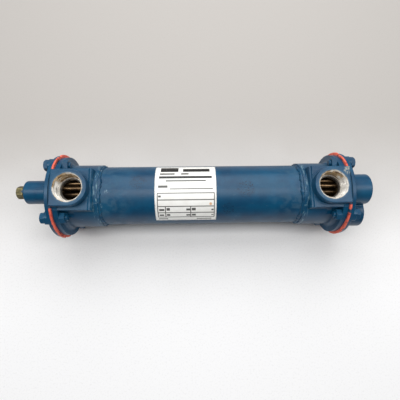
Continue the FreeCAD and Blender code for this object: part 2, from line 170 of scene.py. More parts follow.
def patch(tree, place, centre, reach, ragged):
    """1 at a centre, falling to 0 at a distance; ragged says how much noise breaks its outline."""
    away = calc(tree, "DIVIDE", vector_calc(tree, "DISTANCE", place, centre), reach)
    rough = noise(tree, place, 2.2 / reach, 5.0, 0.7)
    away = calc(tree, "ADD", away, calc(tree, "MULTIPLY_ADD", rough, 2 * ragged, -ragged))
    return band(tree, away, 1.0, 0.72)


def relief(tree, height, strength, depth):
    """The normal of a surface roughened by a height."""
    return add(tree, "Bump", {"Height": height, "Strength": strength, "Distance": depth}).outputs["Normal"]


# %% [markdown]
# A finish that several materials share is a group: a small tree of its own, with named inputs
# and outputs, built once and placed in each material with that material's values.


# %% Helpers for groups and materials
def make_group(name, inputs, outputs):
    """An empty group, its inputs, and the node that takes what it puts out."""
    group = bpy.data.node_groups.new(name, "ShaderNodeTree")
    for label, kind in inputs:
        group.interface.new_socket(label, in_out="INPUT", socket_type="NodeSocket" + kind)
    for label, kind in outputs:
        group.interface.new_socket(label, in_out="OUTPUT", socket_type="NodeSocket" + kind)
    return group, group.nodes.new("NodeGroupInput").outputs, group.nodes.new("NodeGroupOutput")


def use_group(tree, group, inputs):
    """A group placed in a material, with its own values."""
    return add(tree, "Group", inputs, node_tree=group).outputs


def srgb(red, green, blue):
    """A colour given as on a screen, 0 to 255, turned into the linear values that nodes use."""
    parts = np.array([red, green, blue]) / 255.0
    linear = np.where(parts <= 0.04045, parts / 12.92, ((parts + 0.055) / 1.055) ** 2.4)
    return (*[float(v) for v in linear], 1.0)


def new_material(name):
    """A material with its tree and its Principled shader."""
    material = bpy.data.materials.new(name)
    material.use_nodes = True
    return material, material.node_tree, material.node_tree.nodes["Principled BSDF"]


def object_place(tree):
    """The place of a point in the frame, which every pattern here is drawn on."""
    return tree.nodes.new("ShaderNodeTexCoord").outputs["Object"]


# %% [markdown]
# ## Blue enamel
# The whole exchanger was painted in one go after it was put together: shell, hubs, covers,
# nuts and bolts.  The enamel is thin and a little uneven.  It is duller where it was brushed
# over rough metal, it has a faint skin like an orange's, and handling has left pale rubs.
# One group gives that film; each material sets how rough the metal under it is.

# %% The enamel as a shared group
ENAMEL_DEEP = srgb(0, 56, 88)
ENAMEL_LIGHT = srgb(0, 74, 108)
ENAMEL_DUSTY = srgb(30, 86, 114)
ENAMEL_RUBBED = srgb(126, 146, 160)
ENAMEL_SPECK = srgb(8, 26, 44)


def make_enamel():
    """Cloudy tone, dusty patches, specks and rubs over one blue, and the film's own relief."""
    group, given, result = make_group(
        "enamel_film", [("Relief", "Float"), ("Wear", "Float")],
        [("Color", "Color"), ("Roughness", "Float"), ("Height", "Float")])
    place = object_place(group)
    clouds = noise(group, place, 38.0, 4.0, 0.6)
    drifts = noise(group, stretched(group, place, (14.0, 30.0, 30.0)), 1.0, 3.0)
    color = blend(group, band(group, clouds, 0.3, 0.75), ENAMEL_DEEP, ENAMEL_LIGHT)
    dusty = times(group, band(group, drifts, 0.5, 0.72), 0.28)
    color = blend(group, dusty, color, ENAMEL_DUSTY)
    streaks = noise(group, stretched(group, place, (55.0, 210.0, 210.0)), 1.0, 5.0, 0.7)
    rubs = times(group, band(group, streaks, 0.66, 0.74), given["Wear"])
    rubs = times(group, rubs, 0.75, clamp=True)
    color = blend(group, rubs, color, ENAMEL_RUBBED)
    specks = band(group, noise(group, place, 620.0, 2.0, 0.5), 0.70, 0.76)
    specks = times(group, times(group, specks, given["Wear"]), 0.5)
    color = blend(group, specks, color, ENAMEL_SPECK)
    rough = calc(group, "MULTIPLY_ADD", drifts, 0.22, 0.27)
    rough = calc(group, "MULTIPLY_ADD", rubs, 0.2, rough)
    skin = times(group, noise(group, place, 900.0, 2.0), 0.25)
    cast = noise(group, place, 260.0, 4.0, 0.65)
    height = calc(group, "MULTIPLY_ADD", cast, given["Relief"], skin)
    fill(group, result, {"Color": color, "Roughness": rough, "Height": height})
    return group


enamel = make_enamel()
print("group:", enamel.name)

# %% [markdown]
# Paint is thinnest on outer corners, where a wipe or a knock shows, so corners are paler; the paleness is
# also a painted edge highlight.
# A Bevel node finds them: it gives the normal that a rounded edge would have, and where that
# differs from the true normal there is an edge.  The same rounded normal softens the shading.

# %% Worn and highlighted corners as a shared group
CORNER_RADIUS = 0.6 * MM
CORNER_WEAR_AND_GLINT = srgb(104, 142, 158)


def make_corners():
    """How near a point is to a sharp edge, broken up by noise, and the rounded normal."""
    group, given, result = make_group("worn_and_glinting_corners", [("Radius", "Float")],
                                      [("Mask", "Float"), ("Normal", "Vector")])
    rounded = add(group, "Bevel", {"Radius": given["Radius"]}, samples=4).outputs[0]
    true = add(group, "NewGeometry").outputs["Normal"]
    edge = band(group, vector_calc(group, "DOT_PRODUCT", rounded, true), 0.995, 0.86)
    broken = band(group, noise(group, object_place(group), 190.0, 4.0, 0.6), 0.38, 0.62)
    fill(group, result, {"Mask": times(group, edge, broken), "Normal": rounded})
    return group


corners = make_corners()
print("group:", corners.name, "within", CORNER_RADIUS, "of an edge")

# %% [markdown]
# A painted piece takes its colour, roughness, height and normal from these two groups.  The
# shell and the hubs change them on the way to the shader, and the other pieces don't.

# %% Enamel on a piece
ENAMEL_DEPTH = 0.35 * MM
ENAMEL_GLOSS = 0.4


def enamel_layers(tree, grain, wear):
    """The enamel's colour, roughness and height, and the rounded normal that it lies on."""
    film = use_group(tree, enamel, {"Relief": grain, "Wear": wear})
    edge = use_group(tree, corners, {"Radius": CORNER_RADIUS})
    # Paler corners: worn paint, and a painted edge highlight.
    color = blend(tree, times(tree, edge["Mask"], 0.6), film["Color"], CORNER_WEAR_AND_GLINT)
    return color, film["Roughness"], film["Height"], edge["Normal"]


def finish_enamel(tree, shader, color, rough, height, rounded, strength):
    """Send the layers to the shader, with the relief on top of the rounded normal."""
    skin = add(tree, "Bump", {"Height": height, "Normal": rounded, "Strength": strength,
                              "Distance": ENAMEL_DEPTH})
    fill(tree, shader, {"Base Color": color, "Roughness": rough, "Normal": skin.outputs["Normal"],
                        "Specular IOR Level": ENAMEL_GLOSS})


def plain_enamel(name, grain, wear, strength):
    """A material of enamel alone, over metal with that grain."""
    material, tree, shader = new_material(name)
    finish_enamel(tree, shader, *enamel_layers(tree, grain, wear), strength)
    return material


def paint_nodes(material, *names):
    """Give CAD nodes one material."""
    for name in names:
        mesh = frame["nodes"][name].data
        mesh.materials.clear()
        mesh.materials.append(material)


# %% [markdown]
# ## The covers, nuts and bolts
# The covers are sand castings, so the enamel follows a coarse grain.  The fasteners are plain
# steel under paint that is thin and worn on the flats, so they have less grain and more wear.

# %% Paint the covers and the fasteners
paint_nodes(plain_enamel("enamel_on_casting", 0.9, 0.7, 0.5), "bonnet_left", "bonnet_right")
fasteners = [name for name in frame["nodes"] if name.startswith(("bolt_", "nut_"))]
paint_nodes(plain_enamel("enamel_on_fasteners", 0.5, 1.0, 0.35), *fasteners)
print("painted covers and", len(fasteners), "fasteners")

# %% [markdown]
# ## The shell
# The shell is drawn brass tube, so its enamel is smoother than a casting's and shows one long
# soft highlight.  Towards the hubs the paint went over flux and heat-roughened metal and is
# pitted.  Under the label there is an older, painted-over one, which only shows as a step in
# the surface on either side: a rectangle in length and in angle round the tube.  A few patches
# of dark specks and pale scuffs have a place of their own, given along and across the top.

# %% Paint the shell
OLD_LABEL = (0.24, 0.77)  # its start and stop, as shares of the shell's length
OLD_LABEL_EDGE = 1.02  # radians from the top, to either side
STEP_WIDTH = 0.6 * MM
PIT_RANGE = (0.24, 0.46)  # how far from the middle pits begin and are thick, as shares of the length
DULL_BLUE = srgb(86, 116, 130)
SCRATCH_BLUE = srgb(104, 132, 152)
DARK_SPECKS = srgb(6, 36, 58)
PALE_SCUFF = srgb(128, 158, 172)
MARKS = [  # share of the length, distance across the top towards the back, reach, and colour
    (0.217, 10.0 * MM, 11.0 * MM, DARK_SPECKS),
    (0.70, 0.0, 12.0 * MM, DARK_SPECKS),
    (0.62, -24.0 * MM, 9.0 * MM, DARK_SPECKS),
    (0.081, -2.0 * MM, 2.6 * MM, PALE_SCUFF),
    (0.04, -20.0 * MM, 6.0 * MM, PALE_SCUFF)]


def along_shell(share):
    """A place along the shell, from a share of its length."""
    return float(shell_low[0] + share * (shell_high[0] - shell_low[0]))


def round_shell(tree, place):
    """Along the shell, angle from the top towards the front, and distance from the axis."""
    parts = split(tree, place)
    up = calc(tree, "SUBTRACT", parts["Z"], AXIS_Z)
    front = times(tree, parts["Y"], -1.0)
    reach = calc(tree, "SQRT", calc(tree, "MULTIPLY_ADD", up, up, times(tree, front, front)))
    return parts["X"], calc(tree, "ARCTAN2", front, up), reach


def label_step(tree, along, angle):
    """1 on the painted-over label and 0 off it, rising over the width of its step."""
    start, stop = (along_shell(share) for share in OLD_LABEL)
    in_length = times(tree, band(tree, along, start, start + STEP_WIDTH),
                      band(tree, along, stop, stop - STEP_WIDTH))
    step = STEP_WIDTH / SHELL_RADIUS
    lap = band(tree, calc(tree, "ABSOLUTE", angle), OLD_LABEL_EDGE + step, OLD_LABEL_EDGE)
    return times(tree, in_length, lap)


def paint_shell():
    """Enamel with pitted ends, scratches, marks and the raised outline of an older label."""
    material, tree, shader = new_material("enamel_on_shell")
    color, rough, height, rounded = enamel_layers(tree, 0.22, 0.55)
    place = object_place(tree)
    along, angle, _ = round_shell(tree, place)
    length = float(shell_high[0] - shell_low[0])
    away = calc(tree, "ABSOLUTE", calc(tree, "SUBTRACT", along, along_shell(0.5)))
    near_ends = band(tree, away, length * PIT_RANGE[0], length * PIT_RANGE[1])
    pits = times(tree, noise(tree, place, 520.0, 4.0, 0.7), near_ends)
    height = calc(tree, "MULTIPLY_ADD", label_step(tree, along, angle), 0.5, height)
    height = calc(tree, "MULTIPLY_ADD", pits, 1.3, height)
    dull = times(tree, near_ends, band(tree, noise(tree, place, 120.0, 4.0, 0.65), 0.45, 0.62))
    color = blend(tree, times(tree, dull, 0.2), color, DULL_BLUE)
    rough = calc(tree, "MULTIPLY_ADD", dull, 0.25, rough)
    scratch = noise(tree, stretched(tree, place, (26.0, 1400.0, 1400.0)), 1.0, 2.0, 0.5)
    scratch = times(tree, band(tree, scratch, 0.72, 0.78), 0.4)
    color = blend(tree, scratch, color, SCRATCH_BLUE)
    specks = band(tree, noise(tree, place, 760.0, 4.0, 0.7), 0.5, 0.6)
    for share, across, reach, tone in MARKS:
        height_there = float(AXIS_Z) + math.sqrt(SHELL_RADIUS ** 2 - across ** 2)
        near = patch(tree, place, (along_shell(share), across, height_there), reach, 0.7)
        color = blend(tree, times(tree, near, specks), color, tone)
    finish_enamel(tree, shader, color, rough, height, rounded, 0.3)
    return material


paint_nodes(paint_shell(), "shell")
print("shell painted, with", len(MARKS), "marks and an old label from", OLD_LABEL, "of its length")

# %% [markdown]
# ## The hubs and their bare openings
# Plugs kept the paint out of the threaded openings, so there the metal is bare: pale and
# bright, browned in a ring at the mouth, with paint creeping over the lip.  The step at the
# foot of the thread is darkened with painted shade.  Bare metal and paint are one piece, so
# they are one material with a mask, worked out from the distance to the opening's axis.  A
# paler ring on the paint round the mouth is a painted highlight on the lip.  A second mask
# roughens the end of the sleeve, where it was brazed, and paints a highlight along the ridges
# of its lumps.

# %% Bare metal as a shared group
METAL_PALE = srgb(244, 240, 232)
METAL_GOLD = srgb(206, 178, 136)
METAL_BROWN = srgb(112, 84, 56)
METAL_SPOT = srgb(58, 48, 40)


def make_bare_metal():
    """Machined metal: pale, with golden and brown stains; Tarnish says how much of them."""
    group, given, result = make_group("bare_metal", [("Tarnish", "Float")],
                                      [("Color", "Color"), ("Roughness", "Float"), ("Height", "Float")])
    place = object_place(group)
    stain = noise(group, place, 150.0, 5.0, 0.65)
    spots = noise(group, place, 420.0, 3.0, 0.6)
    amount = calc(group, "ADD", stain, calc(group, "MULTIPLY_ADD", given["Tarnish"], 0.5, -0.3))
    color = blend(group, band(group, amount, 0.46, 0.66), METAL_PALE, METAL_GOLD)
    color = blend(group, band(group, amount, 0.62, 0.85), color, METAL_BROWN)
    dark = times(group, band(group, spots, 0.66, 0.76), 0.55)
    color = blend(group, dark, color, METAL_SPOT)
    fill(group, result, {"Color": color, "Roughness": calc(group, "MULTIPLY_ADD", amount, 0.3, 0.2),
                         "Height": times(group, spots, 0.6)})
    return group


bare_metal = make_bare_metal()
print("group:", bare_metal.name)

# %% Paint the hubs
MOUTH_EDGE = 1.2 * MM  # from the thread's outer radius to the paint
PAINT_RAGGED = 0.8 * MM  # how far the paint's edge strays either way
SHADED_STEP_RADIUS = 14.4 * MM  # radius of the painted shade on the step at the foot of the thread
SHADE_DEPTH = (8 * MM, 12 * MM)  # how far down the opening the painted shade begins and is full
BRAZE_ROUGH = 8.0 * MM  # the rough band's reach from the sleeve's end
BRAZE_RIDGE_HIGHLIGHT = srgb(112, 146, 160)
MOUTH_RIM_HIGHLIGHT = srgb(96, 126, 146)
WORN_METAL = srgb(160, 162, 150)
PAINTED_SHADE_DARK = srgb(34, 26, 20)


def from_port(tree, place, side):
    """Distance of a point from the axis of a hub's opening."""
    moved = vector_calc(tree, "SUBTRACT", place, (PORT_X[side], 0.0, 0.0))
    return vector_calc(tree, "LENGTH", stretched(tree, moved, (1.0, 1.0, 0.0)))


def opening_metal(tree, place, from_axis, side):
    """Bare metal, browned at the lip and most to its left and back, with painted shade at the foot."""
    lip = band(tree, from_axis, PORT_RADIUS - 0.5 * MM, PORT_RADIUS + MOUTH_EDGE)
    rim_side = (PORT_X[side] - PORT_RADIUS * 0.75, PORT_RADIUS * 0.66, float(HUB_TOP_Z))
    browned = patch(tree, place, rim_side, 13 * MM, 0.5)
    tarnish = calc(tree, "MULTIPLY_ADD", lip, 0.42, 0.22)
    tarnish = calc(tree, "MULTIPLY_ADD", browned, 0.45, tarnish)
    metal = use_group(tree, bare_metal, {"Tarnish": tarnish})
    # The step deep in the opening is darkened: painted shade, not a stain.
    deep = band(tree, split(tree, place)["Z"], HUB_TOP_Z - SHADE_DEPTH[0], HUB_TOP_Z - SHADE_DEPTH[1])
    oily = times(tree, band(tree, from_axis, SHADED_STEP_RADIUS + 0.3 * MM, SHADED_STEP_RADIUS), deep)
    return blend(tree, times(tree, oily, 0.9), metal["Color"], PAINTED_SHADE_DARK), metal["Roughness"], metal["Height"]


def brazed_end(tree, place, along, side):
    """The lumps near the sleeve's end, and a painted highlight along their ridges, as pale streaks in the
    paint.
    """
    end = calc(tree, "ABSOLUTE", calc(tree, "SUBTRACT", along, float(SLEEVE_END_X[side])))
    brazed = band(tree, end, BRAZE_ROUGH, BRAZE_ROUGH * 0.35)
    lumps = noise(tree, stretched(tree, place, (620.0, 110.0, 110.0)), 1.0, 4.0, 0.65)
    return times(tree, lumps, brazed), times(tree, brazed, band(tree, lumps, 0.54, 0.62))


def wear_corner(tree, place, color, side):
    """Paint scuffed to grey metal at the block's back corner next to the gasket."""
    corner = (float(FACE_X[side]) - 3 * MM, 17.5 * MM, float(HUB_TOP_Z))
    scuff = band(tree, noise(tree, place, 700.0, 4.0, 0.7), 0.42, 0.6)
    worn = times(tree, patch(tree, place, corner, 5.5 * MM, 1.2), scuff)
    return blend(tree, worn, color, WORN_METAL)


def paint_hub(side):
    """Enamel outside, bare metal in the opening and the bore, and a rough brazed end."""
    material, tree, shader = new_material("enamel_on_hub_" + side)
    color, rough, height, rounded = enamel_layers(tree, 0.55, 0.8)
    place = object_place(tree)
    along, _, reach = round_shell(tree, place)
    stray = calc(tree, "MULTIPLY_ADD", noise(tree, place, 260.0, 4.0, 0.6), 2 * PAINT_RAGGED, -PAINT_RAGGED)
    from_axis = calc(tree, "ADD", from_port(tree, place, side), stray)
    edge = PORT_RADIUS + MOUTH_EDGE
    bare = band(tree, from_axis, edge + 0.25 * MM, edge - 0.25 * MM)
    bare = calc(tree, "MAXIMUM", bare, band(tree, reach, SHELL_RADIUS, SHELL_RADIUS - 0.2 * MM))
    lumps, streaks = brazed_end(tree, place, along, side)
    # Pale streaks along the lumps' ridges are a painted highlight.
    color = blend(tree, times(tree, streaks, 0.85), color, BRAZE_RIDGE_HIGHLIGHT)
    # A paler ring on the paint just outside the bare mouth is a painted highlight on the lip.
    rim_highlight = times(tree, band(tree, from_axis, edge + 2.5 * MM, edge), 0.3)
    color = blend(tree, rim_highlight, color, MOUTH_RIM_HIGHLIGHT)
    if side == "right":
        color = wear_corner(tree, place, color, side)
    metal_color, metal_rough, metal_height = opening_metal(tree, place, from_axis, side)
    color = blend(tree, bare, color, metal_color)
    rough = blend_value(tree, bare, rough, metal_rough)
    height = calc(tree, "MULTIPLY_ADD", lumps, 2.0, height)
    height = blend_value(tree, bare, height, metal_height)
    finish_enamel(tree, shader, color, rough, height, rounded, 0.4)
    fill(tree, shader, {"Metallic": times(tree, bare, 0.45)})
    return material


for side in SIDES:
    paint_nodes(paint_hub(side), "hub_" + side)
print("hubs painted, bare inside", round(PORT_RADIUS + MOUTH_EDGE, 4), "of each opening's axis")

# %% [markdown]
# ## What shows down the openings
# Through an opening one sees the tubes over darkness, and through a nozzle the tube plate.
# They are dull and brown, and the tubes have a very dark tone that is painted shade down the
# openings.  The plug is brass that has gone olive, with blue spray where it meets its boss.

# %% The inner metals
def dull_metal(name, light, dark, scale, metallic, rough):
    """Tarnished metal: two tones in clouds, streaked along the exchanger, and fine pitting."""
    material, tree, shader = new_material(name)
    place = object_place(tree)
    clouds = noise(tree, stretched(tree, place, (scale * 0.35, scale, scale)), 1.0, 5.0, 0.6)
    color = blend(tree, band(tree, clouds, 0.36, 0.66), light, dark)
    fine = noise(tree, place, scale * 6.0, 3.0, 0.6)
    fill(tree, shader, {"Base Color": color, "Roughness": calc(tree, "MULTIPLY_ADD", clouds, 0.3, rough),
                        "Normal": relief(tree, fine, 0.35, 0.2 * MM), "Metallic": metallic})
    return material, tree, shader, color


# The tubes' dark tone is painted shade down the openings, over their tarnish.
tube_tarnish_and_shade = dull_metal("tube_tarnish_and_painted_shade", srgb(128, 104, 76), srgb(40, 30, 22), 120.0, 0.9, 0.1)[0]
plate_metal = dull_metal("tarnished_plate", srgb(150, 132, 92), srgb(84, 68, 46), 90.0, 0.7, 0.35)[0]
anode_metal = dull_metal("dull_zinc", srgb(150, 152, 154), srgb(104, 106, 110), 140.0, 0.6, 0.5)[0]
plates = [name for name in frame["nodes"] if name.startswith(("tubesheet", "baffle"))]
paint_nodes(tube_tarnish_and_shade, "tube_bundle")
paint_nodes(plate_metal, *plates)
paint_nodes(anode_metal, "anode_rod")
print("inner metals on the tubes, the anode rod and", len(plates), "plates")

# %% The plug
SPRAY_REACH = 5.5 * MM  # how far out from the boss the spray gets at the middle of the plug
SPRAY_BLUE = srgb(30, 62, 84)


def plug_brass():
    """Olive brass with blue spray, which reaches furthest along the plug's middle, and flecks."""
    material, tree, shader, brass = dull_metal("plug_brass", srgb(142, 132, 92), srgb(66, 62, 44),
                                               210.0, 0.7, 0.36)
    place = object_place(tree)
    boss_x = float(box("bonnet_left")[0][0])
    along, across, _ = split(tree, place)
    ragged = calc(tree, "MULTIPLY_ADD", noise(tree, place, 300.0, 3.0, 0.6), 2 * MM, along)
    reach = calc(tree, "MULTIPLY_ADD", calc(tree, "ABSOLUTE", across), -1.1, ragged)
    spray = band(tree, reach, boss_x - SPRAY_REACH, boss_x - SPRAY_REACH + 1 * MM)
    flecks = times(tree, band(tree, noise(tree, place, 420.0, 3.0), 0.6, 0.7), 0.5)
    spray = calc(tree, "MAXIMUM", spray, flecks)
    fill(tree, shader, {"Base Color": blend(tree, spray, brass, SPRAY_BLUE),
                        "Metallic": calc(tree, "MULTIPLY_ADD", spray, -0.7, 0.7, clamp=True)})
    return material


paint_nodes(plug_brass(), "anode_plug")
print("plug done")

# %% [markdown]
# ## Surfaces from formulas
# All the new pieces but the label are rings: a profile carried once round an axis.
# So one function joins a grid of points into a closed ring of quads.  The first index of the grid
# runs round the axis and the second round the profile, and both close on themselves, which
# leaves no seam and no open edge.  `wander` is the sum of a few sine waves: it is smooth,
# closes on itself, and gives cut edges and beads their unevenness.


# %% Rings and unevenness
def ring_faces(rows, columns):
    """Quads of a grid that closes both ways, as four index columns."""
    row, column = np.meshgrid(np.arange(rows), np.arange(columns), indexing="ij")
    here = row * columns + column
    over = (row + 1) % rows * columns + column
    beside = row * columns + (column + 1) % columns
    across = (row + 1) % rows * columns + (column + 1) % columns
    return np.stack([here, over, across, beside], axis=-1).reshape(-1, 4)


def solid_volume(points, faces):
    """Volume inside a closed mesh of quads; negative if its faces point inwards."""
    a, b, c, d = (points[faces[:, i]] for i in range(4))
    return float((np.cross(b - a, c - a) * a).sum() + (np.cross(c - a, d - a) * a).sum()) / 6


def make_piece(name, points, faces, material):
    """A smooth mesh object at the origin, faces outward, which rides on the exchanger."""
    points = points.reshape(-1, 3)
    if solid_volume(points, faces) < 0:
        faces = faces[:, ::-1]
    mesh = bpy.data.meshes.new(name)
    mesh.from_pydata(points.tolist(), [], faces.tolist())
    mesh.polygons.foreach_set("use_smooth", np.full(len(mesh.polygons), True))
    mesh.materials.append(material)
    piece = bpy.data.objects.new(name, mesh)
    bpy.context.scene.collection.objects.link(piece)
    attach(piece, "root")
    print(name, len(mesh.polygons), "faces")
    return piece


def wander(angle, waves, seed, fade=0.8):
    """Between about -1 and 1: sine waves round a circle, each a little weaker than the last."""
    chance = np.random.default_rng(seed)
    total = np.zeros_like(angle)
    weight = 0.0
    for number, count in enumerate(waves):
        strength = fade ** number
        total += strength * np.sin(count * angle + chance.uniform(0, 2 * np.pi))
        weight += strength
    return total / (0.55 * weight)


def about_shell(x, angle, radius):
    """Points from distance along the shell, angle from the top towards the front, and radius."""
    return np.stack([x + 0 * angle, -radius * np.sin(angle), AXIS_Z + radius * np.cos(angle)], axis=-1)


# %% [markdown]
# ## The gaskets
# Each gasket was cut from red sheet by hand and a little too large, so its edge stands proud
# of the flanges, here more and there less, nicked and frayed, and squeezed out where the cover
# bears on it.  Over the top it is trimmed back and painted blue with the block, and a smear of
# paint crosses the right one.  A disc with a smooth rim would look printed.  The rim's radius
# wanders with the angle, with slow waves for the cutting and quick ones for the fraying.

# %% Red sheet
PAINTED_TOP = 0.44  # radians either side of the top, where paint from the block covers the edge
SHEET_RED = srgb(240, 112, 88)
SHEET_DEEP = srgb(214, 82, 62)
SHEET_FIBRE = srgb(246, 150, 128)
SHEET_STAIN = srgb(92, 44, 46)
SHEET_PAINT = srgb(10, 58, 84)


def painted_edge(tree, along, angle):
    """Where blue paint covers the edge: over the top, and in one smear on the right gasket."""
    top = times(tree, band(tree, angle, -PAINTED_TOP - 0.04, -PAINTED_TOP),
                band(tree, angle, PAINTED_TOP + 0.04, PAINTED_TOP))
    smear = times(tree, band(tree, angle, PAINTED_TOP + 0.10, PAINTED_TOP + 0.13),
                  band(tree, angle, PAINTED_TOP + 0.22, PAINTED_TOP + 0.19))
    return calc(tree, "MAXIMUM", top, times(tree, smear, band(tree, along, 0.0, 0.01)))


def gasket_material():
    """Fibrous red, darker where oily, with blue paint on it in places."""
    material, tree, shader = new_material("red_sheet")
    place = object_place(tree)
    clouds = noise(tree, place, 90.0, 5.0, 0.65)
    fibres = noise(tree, place, 1100.0, 3.0, 0.6)
    color = blend(tree, band(tree, clouds, 0.3, 0.72), SHEET_RED, SHEET_DEEP)
    color = blend(tree, times(tree, band(tree, fibres, 0.52, 0.7), 0.35), color, SHEET_FIBRE)
    stains = times(tree, band(tree, noise(tree, place, 165.0, 4.0, 0.6), 0.56, 0.66), 0.7)
    color = blend(tree, stains, color, SHEET_STAIN)
    along, angle, _ = round_shell(tree, place)
    ragged = calc(tree, "MULTIPLY_ADD", noise(tree, place, 200.0, 4.0, 0.6), 0.16, -0.08)
    paint = painted_edge(tree, along, calc(tree, "ADD", angle, ragged))
    color = blend(tree, paint, color, SHEET_PAINT)
    fill(tree, shader, {"Base Color": color, "Roughness": calc(tree, "MULTIPLY_ADD", clouds, 0.2, 0.55),
                        "Normal": relief(tree, fibres, 0.5, 0.3 * MM)})
    return material


red_sheet = gasket_material()
print("material:", red_sheet.name)

# %% [markdown]
# The bolts fill the gasket's holes, so none of them shows.  The ring's inner edge stays near the
# bore, and at each bolt it goes round outside the hole, so that one ring of quads is enough.

# %% Cut two gaskets
GASKET_TURNS = 540
RIM_STEPS = 9
BOLT_HOLE = 4.4 * MM


def inside_bolts(side, angle):
    """Inner radius by angle: a little inside the shell's, and outside each bolt's hole."""
    inner = np.full_like(angle, SHELL_RADIUS - 2 * MM)
    for number in range(1, 5):
        low, high = box("bolt_" + side + "_" + str(number))
        y, z = (low[1] + high[1]) / 2, (low[2] + high[2]) / 2 - AXIS_Z
        turn = (angle - math.atan2(-y, z) + np.pi) % (2 * np.pi) - np.pi
        circle = math.hypot(y, z)
        inner[np.abs(turn) < BOLT_HOLE / circle] = circle + BOLT_HOLE
    return inner


def cut_gasket(side, seed):
    """Ring whose outer radius is the flange's plus an overhang that wanders, flat at the floor."""
    low, high = box("gasket_" + side)
    flange = (box("bonnet_" + side)[1] - box("bonnet_" + side)[0])[1] / 2
    overhang = (high[1] - low[1]) / 2 - flange
    angle = np.linspace(0, 2 * np.pi, GASKET_TURNS, endpoint=False)[:, None]
    inner = inside_bolts(side, angle)
    # How far the rim stands out, as a share of the overhang; a nick takes some of it away.
    slow = wander(angle, (2, 3, 5, 8), seed)
    quick = wander(angle, (31, 47, 74, 113), seed + 1, 0.9)
    nick = np.clip(wander(angle, (9, 14, 23), seed + 2) - 0.75, 0, 1)
    proud = 0.72 + 0.42 * slow + 0.14 * quick - 1.6 * nick
    top = np.abs((angle + np.pi) % (2 * np.pi) - np.pi) < PAINTED_TOP
    outer = flange + overhang * np.clip(np.where(top, -0.3, proud), -0.5, 1.0)
    # The section: a rounded rim, bent sideways where it is squeezed, and a flat inner edge.
    turn = np.linspace(0, np.pi, RIM_STEPS)[None, :]
    rim = 0.35 * (high[0] - low[0])
    middle = (low[0] + high[0]) / 2
    curl = 0.3 * MM * wander(angle, (4, 7, 11), seed + 3) * np.clip((outer - flange) / overhang, 0, 1)
    half = (high[0] - low[0]) / 2
    x = middle + np.clip(curl * np.sin(turn) - half * np.cos(turn), -half, half)
    radius = outer - rim + rim * np.sin(turn)
    x = np.concatenate([x, middle + half + 0 * angle, middle - half + 0 * angle], axis=1)
    radius = np.concatenate([radius, inner, inner], axis=1)
    points = about_shell(x, angle, radius)
    points[..., 2] = np.maximum(points[..., 2], low[2])
    return make_piece("gasket_edge_" + side, points, ring_faces(*points.shape[:2]), red_sheet)


for number, side in enumerate(SIDES):
    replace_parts(cut_gasket(side, 40 + 10 * number), "gasket_" + side)

# %% [markdown]
# ## The brazed joints
# Where each sleeve ends, brazing metal was fed in by hand.  It froze as a bead of uneven
# width with drips and waves, and the paint follows it.  The bead is the corner between sleeve
# and shell, closed by a curve whose two legs wander separately.

# %% Run a bead at each sleeve
BEAD_TURNS = 420
BEAD_STEPS = 12
bead_paint = plain_enamel("enamel_on_braze", 0.9, 1.8, 0.45)


def braze_bead(side, seed):
    """Ring in the corner: its section is a quarter of an ellipse with legs that wander."""
    rise = box("braze_" + side)[1][2] - AXIS_Z - SHELL_RADIUS
    inward = -SIDES[side]
    angle = np.linspace(0, 2 * np.pi, BEAD_TURNS, endpoint=False)[:, None]
    turn = np.linspace(0, np.pi / 2, BEAD_STEPS)[None, :]
    # The two legs, one up the sleeve's end and one out along the shell, as shares of the rise.
    up = rise * np.clip(0.7 + 0.2 * wander(angle, (5, 9, 16, 33), seed), 0.35, 0.95)
    out = rise * np.clip(1.5 + 0.5 * wander(angle, (4, 7, 13, 29, 51), seed + 1), 0.7, 2.6)
    # The curve between them, with drips, and two points that close it inside the corner.
    lumps = 1 + 0.09 * wander(angle + 0.35 * turn, (41, 67, 97), seed + 2)
    x = out * np.cos(turn) ** 0.9 * lumps
    height = up * np.sin(turn) ** 1.25 * lumps
    x = np.concatenate([x, -0.1 * MM + 0 * angle, -0.1 * MM + 0 * angle], axis=1)
    height = np.concatenate([height, up, -0.1 * MM + 0 * angle], axis=1)
    points = about_shell(SLEEVE_END_X[side] + inward * x, angle, SHELL_RADIUS + height)
    return make_piece("braze_bead_" + side, points, ring_faces(*points.shape[:2]), bead_paint)


for number, side in enumerate(SIDES):
    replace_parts(braze_bead(side, 70 + 10 * number), "braze_" + side)

# %% [markdown]
# ## The pipe threads
# The frame's openings are plain holes at the thread's outer radius.  A thread is a ridge that
# climbs one pitch each turn, so its height depends on the distance along the hole less the
# share of the turn: that one difference makes the helix.  The ridge is cut as a thin lining
# ring, plain on the back, and fades into the chamfer at the mouth.  The lining is of the same
# bare metal as the mouth, with a browned side and dark smears.

# %% Cut the threads
THREAD_TURNS = 96
INCH = 25.4 * MM
PORT_PITCH = INCH / 11.5
NOZZLE_PITCH = INCH / 14
LINING = 0.06 * MM  # between the hole's wall and the lining's back
SMEAR_BROWN = srgb(98, 84, 72)


